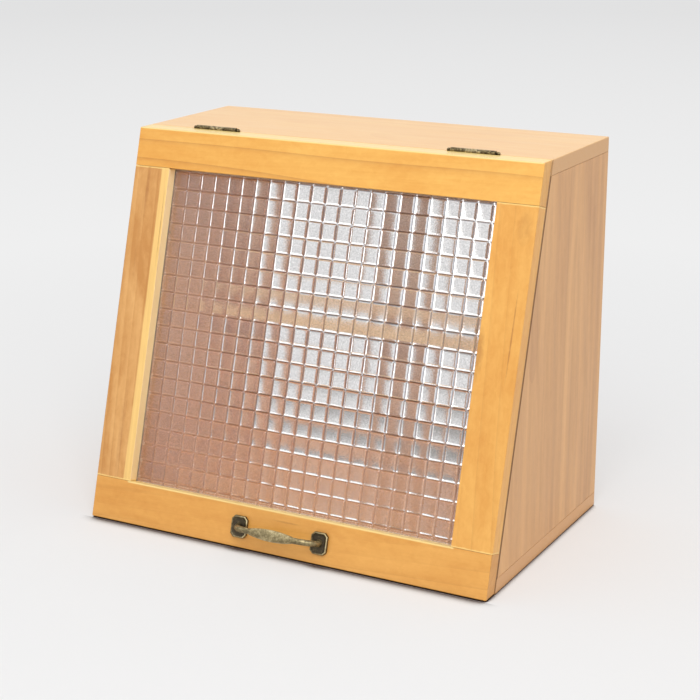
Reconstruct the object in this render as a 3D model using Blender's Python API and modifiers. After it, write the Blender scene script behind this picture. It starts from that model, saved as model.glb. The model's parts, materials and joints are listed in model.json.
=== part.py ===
# Tabletop display case. A wooden carcass with a sloped front stands on its bottom board.
# A door hung on two butt hinges at the top closes the whole front. It is a tenoned frame
# round a pane of checker glass, held in a rebate by mitred beads, with a cast brass pull.
# Metres, +Z up, +X to the right, the door looks along -Y.
# The origin is the centre of the bottom board's underside.

import math

import bmesh
import bpy
from mathutils import Matrix, Vector, geometry

mm = 0.001

# Carcass
case_width = 400 * mm
case_height = 350 * mm
top_depth = 132 * mm
bottom_depth = 232 * mm
board_thickness = 13 * mm
edge_ease = 0.8 * mm
seat_gap = 0.3 * mm
cut_overrun = 2 * mm
plane_tolerance = 0.001 * mm

# Shelf and back slats
shelf_depth = 53 * mm
shelf_thickness = 14 * mm
shelf_top_height = 167.5 * mm
shelf_housing = 4 * mm
slat_thickness = 9 * mm
outer_slat_width = 40 * mm
centre_slat_width = 53 * mm
slat_tenon_length = 7 * mm
slat_tenon_thickness = 4 * mm
slat_tenon_shoulder = 5 * mm

# Dowels of the carcass, with their places as shares of the joint they hold
dowel_radius = 3 * mm
dowel_length = 24 * mm
dowel_board_depth = 8.5 * mm
dowel_sides = 12
dowel_shares = (0.14, 0.48, 0.82)

# Door frame
door_thickness = 16.5 * mm
door_gap = 0.8 * mm
door_floor_gap = 1.3 * mm
top_rail_width = 35 * mm
bottom_rail_width = 38.5 * mm
stile_width = 37.5 * mm
tenon_thickness = 5 * mm
tenon_length = 12 * mm
tenon_front_shoulder = 2.5 * mm
tenon_edge_shoulder = 7 * mm
tenon_rebate_shoulder = 3 * mm

# Glass and the beads behind it
glass_recess = 10 * mm
rebate_width = 6 * mm
glass_thickness = 3 * mm
glass_edge_play = 0.8 * mm
checker_pitch_x = 14.45 * mm
checker_pitch_z = 15.75 * mm
checker_flank = 2.4 * mm
checker_relief = 0.6 * mm
bead_thickness = 4 * mm
bead_round = 1.6 * mm
bead_round_segments = 3
pin_radius = 0.5 * mm
pin_head_radius = 1 * mm
pin_head_height = 0.4 * mm
pin_length = 11 * mm
pin_sides = 8
pin_depth_share = 0.4
bead_pin_shares = (-0.6, 0.6)

# Hinges
hinge_length = 42 * mm
hinge_inset = 72 * mm
hinge_rise = 0.8 * mm
knuckle_radius = 2.3 * mm
knuckle_sides = 20
centre_knuckle_share = 0.34
leaf_thickness = 1 * mm
leaf_gap = 0.3 * mm
leaf_reach = 11.5 * mm
hinge_pin_radius = 1 * mm
hinge_tip_radius = 1.7 * mm
hinge_tip_points = 5
hinge_pin_sides = 12
screw_length = 9 * mm
screw_radius = 0.9 * mm
screw_point = 2.2 * mm
screw_head_radius = 2 * mm
screw_head_height = 0.8 * mm
screw_sides = 10
screw_shares = (-0.34, 0.34)
screw_drop_share = 0.62

# Pull
handle_pitch = 81 * mm
handle_height = 18.8 * mm
handle_stand = 16 * mm
handle_rise_share = 0.95
handle_crown_share = 0.62
foot_width = 16 * mm
foot_height = 19.5 * mm
foot_thickness = 3 * mm
foot_clip = 3 * mm
foot_rim_width = 1.5 * mm
foot_rim_height = 0.7 * mm
neck_radius = 2.8 * mm
neck_root_radius = 4.8 * mm
neck_flare_height = 8 * mm
leaf_half_length = 22 * mm
leaf_half_height = 5.4 * mm
leaf_half_thickness = 2 * mm
leaf_fullness = 0.75
handle_half_rings = 17
handle_ring_sides = 14
handle_screw_radius = 1.5 * mm
handle_screw_grip = 6.5 * mm
handle_screw_head_radius = 3.2 * mm
handle_screw_head_height = 2.2 * mm
handle_screw_counterbore = 3 * mm
handle_screw_crown_share = 0.6
handle_screw_sides = 14

# What follows from them
half_width = case_width / 2
back_y = bottom_depth / 2
lean = math.atan2(bottom_depth - top_depth, case_height)
front_foot = Vector((0, -bottom_depth / 2, 0))
front_normal = Vector((0, -math.cos(lean), math.sin(lean)))
inner_half_width = half_width - board_thickness - seat_gap
inner_low = board_thickness + seat_gap
inner_high = case_height - board_thickness - seat_gap
slat_front_y = back_y - slat_thickness

# The pin axis lies in the middle of the gap between carcass and door, just above the top.
pin_z = case_height + hinge_rise
pin_y = -bottom_depth / 2 + pin_z * math.tan(lean) - door_gap / 2 / math.cos(lean)

# Door frame of reference: origin on the pin axis, z up the slope, y square into the case.
# In it the carcass front lies at y = door_gap / 2.
level = Vector((0, -math.sin(lean), math.cos(lean)))
door_back = -door_gap / 2
door_front = door_back - door_thickness
door_top_plane = -hinge_rise * level
door_bottom_plane = (door_floor_gap - pin_z) * level
front_top = (math.sin(lean) * door_front - hinge_rise) / math.cos(lean)
front_bottom = front_top - (case_height - door_floor_gap) / math.cos(lean)
opening_top = front_top - top_rail_width
opening_bottom = front_bottom + bottom_rail_width
opening_half = half_width - stile_width
opening_middle = (opening_top + opening_bottom) / 2
glass_seat = door_front + glass_recess
glass_front = glass_seat + seat_gap
glass_back = glass_front + glass_thickness
bead_front = glass_back + seat_gap
bead_back = bead_front + bead_thickness
bead_width = rebate_width - seat_gap
hinge_places = (-(half_width - hinge_inset), half_width - hinge_inset)

along_x = Vector((1, 0, 0))
along_y = Vector((0, 1, 0))
along_z = Vector((0, 0, 1))


def clear_scene():
    for old in list(bpy.data.objects):
        bpy.data.objects.remove(old, do_unlink=True)


def new_collection(name):
    collection = bpy.data.collections.new(name)
    bpy.context.scene.collection.children.link(collection)
    return collection


def finish(name, colour, roughness, metallic=0.0, transmission=0.0):
    material = bpy.data.materials.new(name)
    material.use_nodes = True
    shader = material.node_tree.nodes["Principled BSDF"]
    shader.inputs["Base Color"].default_value = (*colour, 1.0)
    shader.inputs["Roughness"].default_value = roughness
    shader.inputs["Metallic"].default_value = metallic
    shader.inputs["Transmission Weight"].default_value = transmission
    material.diffuse_color = (*colour, 1.0)
    return material


def block(low, high):
    # A box between two opposite corners
    low = Vector(low)
    high = Vector(high)
    shape = bmesh.new()
    bmesh.ops.create_cube(shape, size=1.0)
    bmesh.ops.scale(shape, vec=high - low, verts=shape.verts)
    bmesh.ops.translate(shape, vec=(low + high) / 2, verts=shape.verts)
    return shape


def saw(shape, point, outward):
    # Cuts off what lies beyond a plane and closes the cut
    everything = shape.verts[:] + shape.edges[:] + shape.faces[:]
    cut = bmesh.ops.bisect_plane(
        shape, geom=everything, dist=plane_tolerance, plane_co=point, plane_no=outward, clear_outer=True
    )
    rim = [item for item in cut["geom_cut"] if isinstance(item, bmesh.types.BMEdge)]
    bmesh.ops.holes_fill(shape, edges=rim)
    bmesh.ops.recalc_face_normals(shape, faces=shape.faces)
    return shape


def mark_eased(shape, shown):
    # Marks for the Bevel modifier each edge whose two faces both look along a shown direction
    weight = shape.edges.layers.float.new("bevel_weight_edge")
    shape.normal_update()

    def is_shown(face):
        return any(face.normal.dot(direction) > 0.99 for direction in shown)

    for edge in shape.edges:
        edge[weight] = 1.0 if all(is_shown(face) for face in edge.link_faces) else 0.0
    return shape


def rod(radius, length, sides, centre, direction):
    # A closed cylinder along a direction, about its centre
    shape = bmesh.new()
    turn = along_z.rotation_difference(direction).to_matrix().to_4x4()
    place = Matrix.Translation(centre) @ turn
    bmesh.ops.create_cone(
        shape, cap_ends=True, segments=sides, radius1=radius, radius2=radius, depth=length, matrix=place
    )
    return shape


def turned(profile, sides):
    # A mesh turned about Z from a profile that runs down its outer side
    outline = bmesh.new()
    points = [outline.verts.new((radius, 0, height)) for radius, height in profile]
    for upper, lower in zip(points, points[1:]):
        outline.edges.new((upper, lower))
    mesh = bpy.data.meshes.new("profile")
    outline.to_mesh(mesh)
    outline.free()
    lathe = bpy.data.objects.new("lathe", mesh)
    bpy.context.scene.collection.objects.link(lathe)
    screw = lathe.modifiers.new("turn", "SCREW")
    screw.axis = "Z"
    screw.steps = sides
    screw.render_steps = sides
    screw.use_merge_vertices = True
    screw.merge_threshold = plane_tolerance
    bpy.context.view_layer.update()
    result = bpy.data.meshes.new_from_object(lathe.evaluated_get(bpy.context.evaluated_depsgraph_get()))
    bpy.data.objects.remove(lathe)
    return result


def copies(mesh, places):
    # One mesh with a copy of a turned piece at each place
    shape = bmesh.new()
    for place in places:
        start = len(shape.verts)
        shape.from_mesh(mesh)
        shape.verts.ensure_lookup_table()
        bmesh.ops.transform(shape, matrix=place, verts=shape.verts[start:])
    bmesh.ops.recalc_face_normals(shape, faces=shape.faces)
    return shape


def gather(shapes):
    # Joins separate shapes into one mesh, as separate bodies
    whole = bmesh.new()
    for shape in shapes:
        mesh = bpy.data.meshes.new("piece")
        shape.to_mesh(mesh)
        shape.free()
        whole.from_mesh(mesh)
        bpy.data.meshes.remove(mesh)
    return whole


def pointing(direction, place):
    # Turns a piece made along Z so that its top points along a direction
    return Matrix.Translation(place) @ along_z.rotation_difference(direction).to_matrix().to_4x4()


def add_object(name, shape, collection, frame):
    mesh = bpy.data.meshes.new(name)
    shape.to_mesh(mesh)
    shape.free()
    item = bpy.data.objects.new(name, mesh)
    collection.objects.link(item)
    item.parent = frame
    return item


def add_part(name, shape, material, frame=None, smooth=False):
    item = add_object(name, shape, parts, frame)
    item.data.materials.append(material)
    if smooth:
        item.data.shade_smooth()
        item.data.set_sharp_from_angle(angle=math.radians(35))
    return item


def add_copies(name, mesh, material, places, frame=None):
    # Separate pieces that share one mesh, numbered from 1
    mesh.materials.clear()
    mesh.materials.append(material)
    mesh.shade_smooth()
    mesh.set_sharp_from_angle(angle=math.radians(35))
    for number, place in enumerate(places, start=1):
        item = bpy.data.objects.new(f"{name}_{number}", mesh)
        item.parent = frame
        item.matrix_basis = place
        parts.objects.link(item)


def add_cutter(name, shape, frame=None):
    item = add_object(name, shape, cutters, frame)
    item.hide_render = True
    item.display_type = "WIRE"
    return item


def combine(part, tool, operation="DIFFERENCE"):
    step = part.modifiers.new(tool.name, "BOOLEAN")
    step.operation = operation
    step.object = tool
    step.solver = "EXACT"


def ease(part, width=edge_ease, segments=2):
    step = part.modifiers.new("eased edges", "BEVEL")
    step.limit_method = "WEIGHT"
    step.width = width
    step.segments = segments


def add_frame(name):
    # An empty on the pin axis, leaning with the front of the case
    frame = bpy.data.objects.new(name, None)
    frame.location = (0, pin_y, pin_z)
    frame.rotation_euler = (-lean, 0, 0)
    parts.objects.link(frame)
    return frame


def sawn_board(low, high, shown):
    board = saw(block(low, high), front_foot, front_normal)
    return mark_eased(board, shown)


def make_top_board():
    low = (-half_width, -bottom_depth / 2, case_height - board_thickness)
    high = (half_width, back_y, case_height)
    board = sawn_board(low, high, (along_z, along_x, -along_x, along_y, front_normal))
    top = add_part("top_board", board, finish("top board wood", (0.90, 0.60, 0.34), 0.45))
    ease(top)
    return top


def make_bottom_board():
    low = (-half_width, -bottom_depth / 2, 0)
    high = (half_width, back_y, board_thickness)
    board = sawn_board(low, high, (-along_z, along_x, -along_x, along_y, front_normal))
    bottom = add_part("bottom_board", board, finish("bottom board wood", (0.66, 0.40, 0.18), 0.5))
    ease(bottom)
    return bottom


def make_side_board(name, side):
    outer = side * half_width
    inner = side * (half_width - board_thickness)
    low = (min(outer, inner), -bottom_depth / 2, inner_low)
    high = (max(outer, inner), back_y, inner_high)
    board = sawn_board(low, high, (along_x, -along_x, along_y, front_normal))
    item = add_part(name, board, finish(name + " wood", (0.66, 0.38, 0.16), 0.5))
    ease(item)
    return item


def shelf_body(clearance):
    # The shelf's ends are let into stopped housings in the side boards
    reach = half_width - board_thickness + shelf_housing - seat_gap + clearance
    low = (-reach, slat_front_y - seat_gap - shelf_depth - clearance,
           shelf_top_height - shelf_thickness - clearance)
    high = (reach, slat_front_y - seat_gap + clearance, shelf_top_height + clearance)
    return block(low, high)


def make_shelf(sides):
    board = mark_eased(shelf_body(0), (along_z, -along_z, -along_y))
    shelf = add_part("shelf", board, finish("shelf wood", (0.80, 0.50, 0.24), 0.5))
    ease(shelf)
    housing = add_cutter("shelf_housings", shelf_body(seat_gap))
    for side_board in sides:
        combine(side_board, housing)


def slat_span(side):
    # The left and right edges of the slat at the left, in the middle or at the right
    if side == 0:
        return -centre_slat_width / 2, centre_slat_width / 2
    return sorted((side * inner_half_width, side * (inner_half_width - outer_slat_width)))


def slat_tenon_bar(side, clearance):
    # A bar through a slat's whole length; its ends are the slat's two tenons
    left, right = slat_span(side)
    middle = back_y - slat_thickness / 2
    reach = slat_tenon_thickness / 2 + clearance
    low = (left + slat_tenon_shoulder - clearance, middle - reach,
           board_thickness - slat_tenon_length - clearance)
    high = (right - slat_tenon_shoulder + clearance, middle + reach,
            case_height - board_thickness + slat_tenon_length + clearance)
    return block(low, high)


def make_slat(name, side):
    left, right = slat_span(side)
    board = block((left, slat_front_y, inner_low), (right, back_y, inner_high))
    mark_eased(board, (along_x, -along_x, along_y, -along_y))
    slat = add_part(name, board, finish(name + " wood", (0.74, 0.45, 0.21), 0.5))
    ease(slat)
    combine(slat, add_cutter(name + "_tenons", slat_tenon_bar(side, 0)), "UNION")


def make_carcass_dowels(top, bottom, sides):
    # A dowel reaches dowel_board_depth into the board's face and the rest into the side
    offset = dowel_board_depth - dowel_length / 2
    centres = []
    for side in (-1, 1):
        x = side * (half_width - board_thickness / 2)
        for share in dowel_shares:
            centres.append(Vector((x, back_y - share * top_depth, case_height - board_thickness + offset)))
            centres.append(Vector((x, back_y - share * bottom_depth, board_thickness - offset)))
    pin = rod(dowel_radius, dowel_length, dowel_sides, Vector(), along_z)
    mesh = bpy.data.meshes.new("dowel")
    pin.to_mesh(mesh)
    pin.free()
    places = [Matrix.Translation(centre) for centre in centres]
    add_copies("carcass_dowel", mesh, finish("beech dowel", (0.80, 0.62, 0.42), 0.6), places)
    holes = [rod(dowel_radius + seat_gap, dowel_length + 2 * seat_gap, dowel_sides, centre, along_z)
             for centre in centres]
    drill = add_cutter("dowel_holes", gather(holes))
    for board in (top, bottom, *sides):
        combine(board, drill)


def make_carcass():
    top = make_top_board()
    bottom = make_bottom_board()
    sides = (make_side_board("side_board_left", -1), make_side_board("side_board_right", 1))
    make_shelf(sides)
    for name, side in (("back_slat_left", -1), ("back_slat_centre", 0), ("back_slat_right", 1)):
        make_slat(name, side)
    mortises = add_cutter("slat_mortises", gather([slat_tenon_bar(side, seat_gap) for side in (-1, 0, 1)]))
    combine(top, mortises)
    combine(bottom, mortises)
    make_carcass_dowels(top, bottom, sides)
    return top


def tenon_bar(side, clearance):
    # A bar through a stile's whole length; its ends are the stile's two tenons
    near = opening_half + rebate_width + tenon_rebate_shoulder - clearance
    far = half_width - tenon_edge_shoulder + clearance
    low = (min(side * near, side * far),
           door_front + tenon_front_shoulder - clearance,
           opening_bottom - tenon_length - clearance)
    high = (max(side * near, side * far),
            door_front + tenon_front_shoulder + tenon_thickness + clearance,
            opening_top + tenon_length + clearance)
    return block(low, high)


def make_rail(name, low_z, high_z, plane, outward, end_face):
    rail = block((-half_width, door_front, low_z), (half_width, door_back, high_z))
    saw(rail, plane, outward)
    mark_eased(rail, (-along_y, along_y, along_x, -along_x, end_face))
    item = add_part(name, rail, finish(name + " wood", (0.88, 0.42, 0.09), 0.42), door)
    ease(item)
    return item


def make_stile(name, side):
    near = side * opening_half
    far = side * half_width
    low = (min(near, far), door_front, opening_bottom + seat_gap)
    high = (max(near, far), door_back, opening_top - seat_gap)
    shown = (-along_y, along_y, side * along_x)
    stile = mark_eased(block(low, high), shown)
    item = add_part(name, stile, finish(name + " wood", (0.86, 0.44, 0.12), 0.42), door)
    ease(item)
    combine(item, add_cutter(name + "_tenons", tenon_bar(side, 0), door), "UNION")
    return item


def make_door_frame():
    top = make_rail("door_top_rail", opening_top, front_top + door_thickness,
                    door_top_plane, level, level)
    bottom = make_rail("door_bottom_rail", front_bottom - door_thickness, opening_bottom,
                       door_bottom_plane, -level, -level)
    left = make_stile("door_stile_left", -1)
    right = make_stile("door_stile_right", 1)
    for name, side in (("mortises_left", -1), ("mortises_right", 1)):
        mortises = add_cutter(name, tenon_bar(side, seat_gap), door)
        combine(top, mortises)
        combine(bottom, mortises)
    reach = opening_half + rebate_width
    rebate = block((-reach, glass_seat, opening_bottom - rebate_width),
                   (reach, door_back + cut_overrun, opening_top + rebate_width))
    router = add_cutter("glass_rebate", rebate, door)
    for member in (top, bottom, left, right):
        combine(member, router)
    return top, bottom, left, right


def make_glass_pane():
    # Checker glass: pillowed cells rolled into its face, cut from a larger sheet whose
    # grid starts at the opening's upper left corner
    half = opening_half + rebate_width - glass_edge_play
    top = opening_top + rebate_width - glass_edge_play
    bottom = opening_bottom - rebate_width + glass_edge_play
    columns = math.ceil((half + opening_half) / checker_pitch_x) + 1
    rows = math.ceil((opening_top - bottom) / checker_pitch_z) + 1
    sheet = bmesh.new()
    bmesh.ops.create_grid(sheet, x_segments=columns, y_segments=rows, size=0.5)
    bmesh.ops.scale(sheet, vec=(columns * checker_pitch_x, rows * checker_pitch_z, 1), verts=sheet.verts)
    upright = Matrix.Rotation(math.radians(90), 4, "X")
    corner = Vector((-opening_half - checker_pitch_x, glass_front + checker_relief,
                     opening_top + checker_pitch_z))
    middle = Vector((columns * checker_pitch_x / 2, 0, -rows * checker_pitch_z / 2))
    bmesh.ops.transform(sheet, matrix=Matrix.Translation(corner + middle) @ upright, verts=sheet.verts)
    bmesh.ops.recalc_face_normals(sheet, faces=sheet.faces)
    bmesh.ops.inset_individual(sheet, faces=sheet.faces[:], thickness=checker_flank, depth=checker_relief)
    edges_of_pane = ((half * along_x, along_x), (-half * along_x, -along_x),
                     (top * along_z, along_z), (bottom * along_z, -along_z))
    for point, outward in edges_of_pane:
        everything = sheet.verts[:] + sheet.edges[:] + sheet.faces[:]
        bmesh.ops.bisect_plane(sheet, geom=everything, dist=plane_tolerance, plane_co=point,
                               plane_no=outward, clear_outer=True)
    rim = [edge for edge in sheet.edges if edge.is_boundary]
    wall = bmesh.ops.extrude_edge_only(sheet, edges=rim)
    for vert in [item for item in wall["geom"] if isinstance(item, bmesh.types.BMVert)]:
        vert.co.y = glass_back
    bmesh.ops.holes_fill(sheet, edges=[edge for edge in sheet.edges if edge.is_boundary])
    bmesh.ops.recalc_face_normals(sheet, faces=sheet.faces)
    glass = finish("checker glass", (0.86, 0.88, 0.86), 0.05, transmission=0.9)
    return add_part("glass_pane", sheet, glass, door)


def make_bead(name, along_width, sign):
    # A bead on the top or bottom edge of the opening, or on its left or right edge
    if along_width:
        edge = opening_top if sign > 0 else opening_bottom
        reach = opening_half + bead_width
        near, far = sorted((edge, edge + sign * bead_width))
        low = (-reach, bead_front, near)
        high = (reach, bead_back, far)
    else:
        near, far = sorted((sign * opening_half, sign * (opening_half + bead_width)))
        low = (near, bead_front, opening_bottom - bead_width)
        high = (far, bead_back, opening_top + bead_width)
    bead = block(low, high)
    inner = -sign * (along_z if along_width else along_x)
    for end in (-1, 1):
        if along_width:
            corner = Vector((end * (opening_half - seat_gap), 0, opening_top if sign > 0 else opening_bottom))
            outward = Vector((end, 0, -sign))
        else:
            corner = Vector((sign * opening_half, 0,
                             opening_top - seat_gap if end > 0 else opening_bottom + seat_gap))
            outward = Vector((-sign, 0, end))
        saw(bead, corner, outward.normalized())
    mark_eased(bead, (inner, along_y))
    item = add_part(name, bead, finish(name + " wood", (0.78, 0.47, 0.20), 0.5), door)
    ease(item, bead_round, bead_round_segments)
    return item


def make_beads(frame_members):
    beads = [
        make_bead("bead_top", True, 1),
        make_bead("bead_bottom", True, -1),
        make_bead("bead_left", False, -1),
        make_bead("bead_right", False, 1),
    ]
    pin_y_place = bead_front + pin_depth_share * bead_thickness
    half_height = (opening_top - opening_bottom) / 2
    places = []
    for share in bead_pin_shares:
        x = share * opening_half
        z = opening_middle + share * half_height
        places.append(pointing(-along_z, Vector((x, pin_y_place, opening_top))))
        places.append(pointing(along_z, Vector((x, pin_y_place, opening_bottom))))
        places.append(pointing(along_x, Vector((-opening_half, pin_y_place, z))))
        places.append(pointing(-along_x, Vector((opening_half, pin_y_place, z))))

    def pin_profile(clearance):
        return ((0, pin_head_height + seat_gap + clearance),
                (pin_head_radius + clearance, pin_head_height + seat_gap + clearance),
                (pin_head_radius + clearance, seat_gap - clearance),
                (pin_radius + clearance, seat_gap - clearance),
                (pin_radius + clearance, -pin_length - clearance),
                (0, -pin_length - clearance))

    brass = finish("bead pin brass", (0.60, 0.45, 0.20), 0.35, 1.0)
    add_copies("bead_pin", turned(pin_profile(0), pin_sides), brass, places, door)
    holes = add_cutter("bead_pin_holes", copies(turned(pin_profile(seat_gap), pin_sides), places), door)
    for piece in (*beads, *frame_members):
        combine(piece, holes)


def knuckles(name, centre_x, radius, spans, frame):
    # Cylinders on the pin axis, one for each span of the hinge's length
    shapes = [
        rod(radius, right - left, knuckle_sides, Vector((centre_x + (left + right) / 2, 0, 0)), along_x)
        for left, right in spans
    ]
    return add_cutter(name, gather(shapes), frame)


def make_leaf(name, centre_x, side, frame):
    # side is 1 for the leaf on the case and -1 for the leaf on the door
    half_length = hinge_length / 2
    split = centre_knuckle_share * half_length
    near, far = sorted((side * leaf_gap / 2, side * (leaf_gap / 2 + leaf_thickness)))
    plate = block((centre_x - half_length, near, -leaf_reach), (centre_x + half_length, far, 0))
    brass = finish(name + " antique brass", (0.32, 0.24, 0.12), 0.4, 1.0)
    leaf = add_part(name, plate, brass, frame, True)
    if side > 0:
        own = ((-half_length, -split - seat_gap), (split + seat_gap, half_length))
        other = ((-split - seat_gap, split + seat_gap),)
    else:
        own = ((-split, split),)
        other = ((-half_length - seat_gap, -split), (split, half_length + seat_gap))
    combine(leaf, knuckles(name + "_other_knuckles", centre_x, knuckle_radius + seat_gap, other, frame))
    combine(leaf, knuckles(name + "_knuckles", centre_x, knuckle_radius, own, frame), "UNION")
    whole = ((-half_length - seat_gap, half_length + seat_gap),)
    combine(leaf, knuckles(name + "_bore", centre_x, hinge_pin_radius + seat_gap, whole, frame))
    return leaf


def make_hinge_pin(name, centre_x, frame):
    # A plain pin with a small ball tip at each end of the barrel
    tip_centre = hinge_length / 2 + seat_gap + hinge_tip_radius
    upper = []
    for step in range(hinge_tip_points + 1):
        angle = math.radians(90) - math.radians(150) * step / hinge_tip_points
        upper.append((hinge_tip_radius * math.cos(angle), tip_centre + hinge_tip_radius * math.sin(angle)))
    upper[0] = (0, tip_centre + hinge_tip_radius)
    neck_height = tip_centre - hinge_tip_radius * math.sin(math.radians(60))
    upper.append((hinge_pin_radius, neck_height))
    lower = [(radius, -height) for radius, height in reversed(upper)]
    pin = copies(turned(upper + lower, hinge_pin_sides), (pointing(along_x, Vector((centre_x, 0, 0))),))
    brass = finish(name + " antique brass", (0.36, 0.27, 0.13), 0.4, 1.0)
    add_part(name, pin, brass, frame, True)


def screw_places(side):
    # Head towards the closed gap, point into the wood
    drop = -screw_drop_share * leaf_reach
    places = []
    for centre_x in hinge_places:
        for share in screw_shares:
            x = centre_x + share * hinge_length
            places.append(pointing(-side * along_y, Vector((x, side * leaf_gap / 2, drop))))
    return places


def screw_profile(clearance):
    # From the middle of the head down to the point
    neck = screw_radius + clearance
    return ((0, clearance),
            (screw_head_radius + clearance, clearance),
            (screw_head_radius + clearance, 0),
            (neck, -screw_head_height),
            (neck, -(screw_length - screw_point)),
            (0, -screw_length - clearance))


def screw_solid_profile():
    return ((0, 0), (screw_head_radius, 0), (screw_radius, -screw_head_height),
            (screw_radius, -(screw_length - screw_point)), (0, -screw_length))


def make_hinges(top_board, top_rail):
    half_length = hinge_length / 2
    leaf_depth = leaf_gap / 2 + leaf_thickness + seat_gap
    recesses = []
    notches = []
    for centre_x in hinge_places:
        reach = half_length + seat_gap
        low = (centre_x - reach, -leaf_depth, -leaf_reach - seat_gap)
        high = (centre_x + reach, leaf_depth, cut_overrun)
        recesses.append(block(low, high))
        barrel = 2 * (half_length + 2 * hinge_tip_radius + 2 * seat_gap)
        notches.append(rod(knuckle_radius + seat_gap, barrel, knuckle_sides,
                           Vector((centre_x, 0, 0)), along_x))
    recess = add_cutter("leaf_recesses", gather(recesses), case_line)
    notch = add_cutter("barrel_notches", gather(notches), case_line)
    for wood in (top_board, top_rail):
        combine(wood, recess)
        combine(wood, notch)

    leaves = {1: [], -1: []}
    for name, centre_x in zip(("hinge_left", "hinge_right"), hinge_places):
        leaves[1].append(make_leaf(name + "_case_leaf", centre_x, 1, case_line))
        leaves[-1].append(make_leaf(name + "_door_leaf", centre_x, -1, door))
        make_hinge_pin(name + "_pin", centre_x, case_line)

    for name, side, frame, wood in (("hinge_case_screw", 1, case_line, top_board),
                                    ("hinge_door_screw", -1, door, top_rail)):
        places = screw_places(side)
        brass = finish(name + " brass", (0.36, 0.27, 0.13), 0.4, 1.0)
        add_copies(name, turned(screw_solid_profile(), screw_sides), brass, places, frame)
        holes = copies(turned(screw_profile(seat_gap), screw_sides), places)
        drill = add_cutter(name + "_holes", holes, frame)
        for piece in (wood, *leaves[side]):
            combine(piece, drill)


def bow_section(x, stand):
    # Half thickness and half height of the pull's bow at a distance from its middle
    leaf = math.cos(math.pi / 2 * min(1.0, abs(x) / leaf_half_length)) ** leaf_fullness
    flare = max(0.0, 1.0 - stand / neck_flare_height) ** 2
    root = (neck_root_radius - neck_radius) * flare
    thickness = neck_radius + (leaf_half_thickness - neck_radius) * leaf + root
    height = neck_radius + (leaf_half_height - neck_radius) * leaf + root
    return thickness, height


def make_bow():
    # Lofts the pull's bow from one foot to the other, x along and y out of the door
    half_pitch = handle_pitch / 2
    root = foot_thickness / 2
    half = geometry.interpolate_bezier(
        Vector((half_pitch, root)),
        Vector((half_pitch, handle_rise_share * handle_stand)),
        Vector((handle_crown_share * half_pitch, handle_stand)),
        Vector((0, handle_stand)),
        handle_half_rings,
    )
    path = half + [Vector((-point.x, point.y)) for point in reversed(half[:-1])]
    bow = bmesh.new()
    rings = []
    for index, point in enumerate(path):
        ahead = path[min(index + 1, len(path) - 1)]
        behind = path[max(index - 1, 0)]
        tangent = (ahead - behind).normalized()
        thickness, height = bow_section(point.x, point.y)
        across = Vector((tangent.y, tangent.x, 0)) * thickness
        up = along_z * height
        forward = across.cross(up).normalized()
        place = Matrix((across, up, forward)).transposed().to_4x4()
        place.translation = Vector((point.x, -point.y, 0))
        ring = bmesh.ops.create_circle(bow, segments=handle_ring_sides, radius=1.0, matrix=place)
        rings.append({edge for vert in ring["verts"] for edge in vert.link_edges})
    ends = list(rings[0]) + list(rings[-1])
    for ring, following in zip(rings, rings[1:]):
        bmesh.ops.bridge_loops(bow, edges=list(ring | following))
    bmesh.ops.holes_fill(bow, edges=ends)
    bmesh.ops.recalc_face_normals(bow, faces=bow.faces)
    return bow


def make_foot(x):
    # A plate with clipped corners and a raised rim
    foot = block((x - foot_width / 2, -foot_thickness, -foot_height / 2),
                 (x + foot_width / 2, 0, foot_height / 2))
    corners = [edge for edge in foot.edges
               if abs((edge.verts[0].co - edge.verts[1].co).normalized().y) > 0.99]
    bmesh.ops.bevel(foot, geom=corners, offset=foot_clip, offset_type="OFFSET", segments=1, affect="EDGES")
    foot.normal_update()
    face = [item for item in foot.faces if item.normal.y < -0.99]
    bmesh.ops.inset_region(foot, faces=face, thickness=foot_rim_width)
    bmesh.ops.translate(foot, vec=foot_rim_height * along_y, verts=face[0].verts)
    return foot


def make_handle(bottom_rail):
    place = bpy.data.objects.new("handle_place", None)
    place.location = (0, door_front, front_bottom + handle_height)
    place.parent = door
    parts.objects.link(place)

    bow = make_bow()
    bmesh.ops.translate(bow, vec=-seat_gap * along_y, verts=bow.verts)
    handle = add_part("door_handle", bow, finish("antique brass", (0.42, 0.34, 0.18), 0.45, 1.0), place, True)
    feet = []
    shanks = []
    for side in (-1, 1):
        foot = make_foot(side * handle_pitch / 2)
        bmesh.ops.translate(foot, vec=-seat_gap * along_y, verts=foot.verts)
        feet.append(foot)
        seat = door_thickness - handle_screw_counterbore
        shanks.append(pointing(along_y, Vector((side * handle_pitch / 2, seat, 0))))
    combine(handle, add_cutter("handle_feet", gather(feet), place), "UNION")

    tip = door_thickness - handle_screw_counterbore + handle_screw_grip
    screw = ((0, seat_gap + handle_screw_head_height),
             (handle_screw_head_radius * handle_screw_crown_share, seat_gap + handle_screw_head_height),
             (handle_screw_head_radius, seat_gap + handle_screw_head_height / 2),
             (handle_screw_head_radius, seat_gap),
             (handle_screw_radius, seat_gap),
             (handle_screw_radius, -tip),
             (0, -tip))
    bore = ((0, handle_screw_counterbore + cut_overrun),
            (handle_screw_head_radius + seat_gap, handle_screw_counterbore + cut_overrun),
            (handle_screw_head_radius + seat_gap, 0),
            (handle_screw_radius + seat_gap, 0),
            (handle_screw_radius + seat_gap, -tip - seat_gap),
            (0, -tip - seat_gap))
    steel = finish("steel screw", (0.55, 0.53, 0.50), 0.35, 1.0)
    add_copies("handle_screw", turned(screw, handle_screw_sides), steel, shanks, place)
    holes = add_cutter("handle_screw_holes", copies(turned(bore, handle_screw_sides), shanks), place)
    combine(handle, holes)
    combine(bottom_rail, holes)


clear_scene()
parts = new_collection("display_case")
cutters = new_collection("display_case_cutters")
case_line = add_frame("case_hinge_line")
door = add_frame("door_hinge_axis")

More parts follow.
